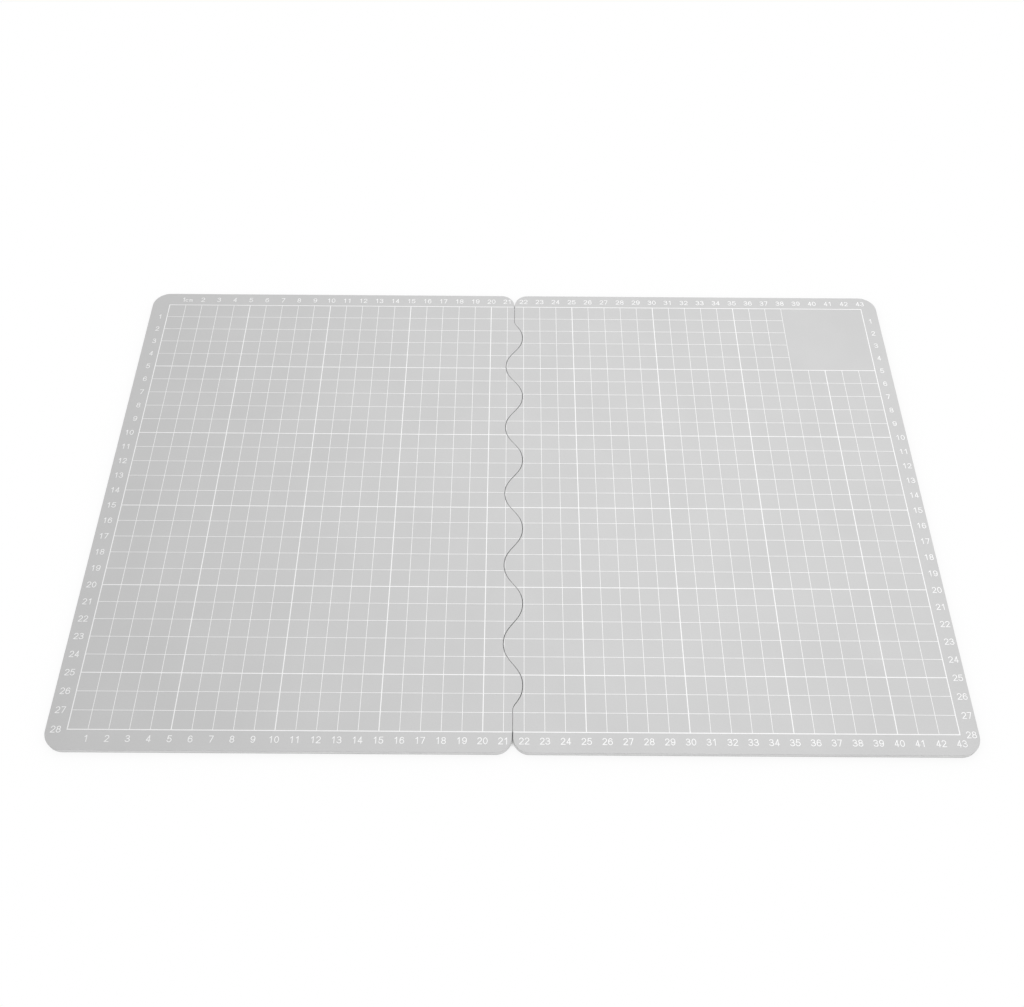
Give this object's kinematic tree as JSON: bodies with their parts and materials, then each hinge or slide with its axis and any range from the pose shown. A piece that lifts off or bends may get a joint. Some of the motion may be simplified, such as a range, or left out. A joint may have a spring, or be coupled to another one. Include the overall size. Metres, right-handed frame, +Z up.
{
  "type": "folding cutting mat",
  "caption": "Flat rectangular cutting mat that folds along a wavy central seam, with rounded corners, a printed centimetre grid and a film hinge underneath.",
  "frame": {"origin": "middle of the fold line, on the surface that the open mat lies on", "axes": "+X to the right across the fold, +Y away from the user along the fold, +Z up out of the printed face"},
  "size_m": [0.45, 0.3, 0.0031],
  "materials": {
    "cutting_surface": "matt calendered soft PVC, pale grey",
    "core_board": "white rigid board, seen only at the cut edge",
    "base_sheet": "matt grained soft PVC, pale grey",
    "white_ink": "white screen-printed ink",
    "hinge_film": "thin satin flexible film, grey"
  },
  "bodies": {
    "left_half": {"left_surface_sheet": "cutting_surface", "left_core_board": "core_board", "left_base_sheet": "base_sheet", "left_upright_lines": "white_ink", "left_cross_lines": "white_ink", "hinge_film_left_wing": "hinge_film", "hinge_film_crease": "hinge_film"},
    "right_half": {"right_surface_sheet": "cutting_surface", "right_core_board": "core_board", "right_base_sheet": "base_sheet", "right_upright_lines": "white_ink", "right_cross_lines": "white_ink", "hinge_film_right_wing": "hinge_film"}
  },
  "joints": [
    {"name": "fold", "type": "hinge", "parent": "left_half", "child": "right_half", "pos_m": [0, 0, -0.00015], "axis": [0, 1, 0], "range_deg": [0, 180], "deforming": ["hinge_film_crease"]}
  ]
}
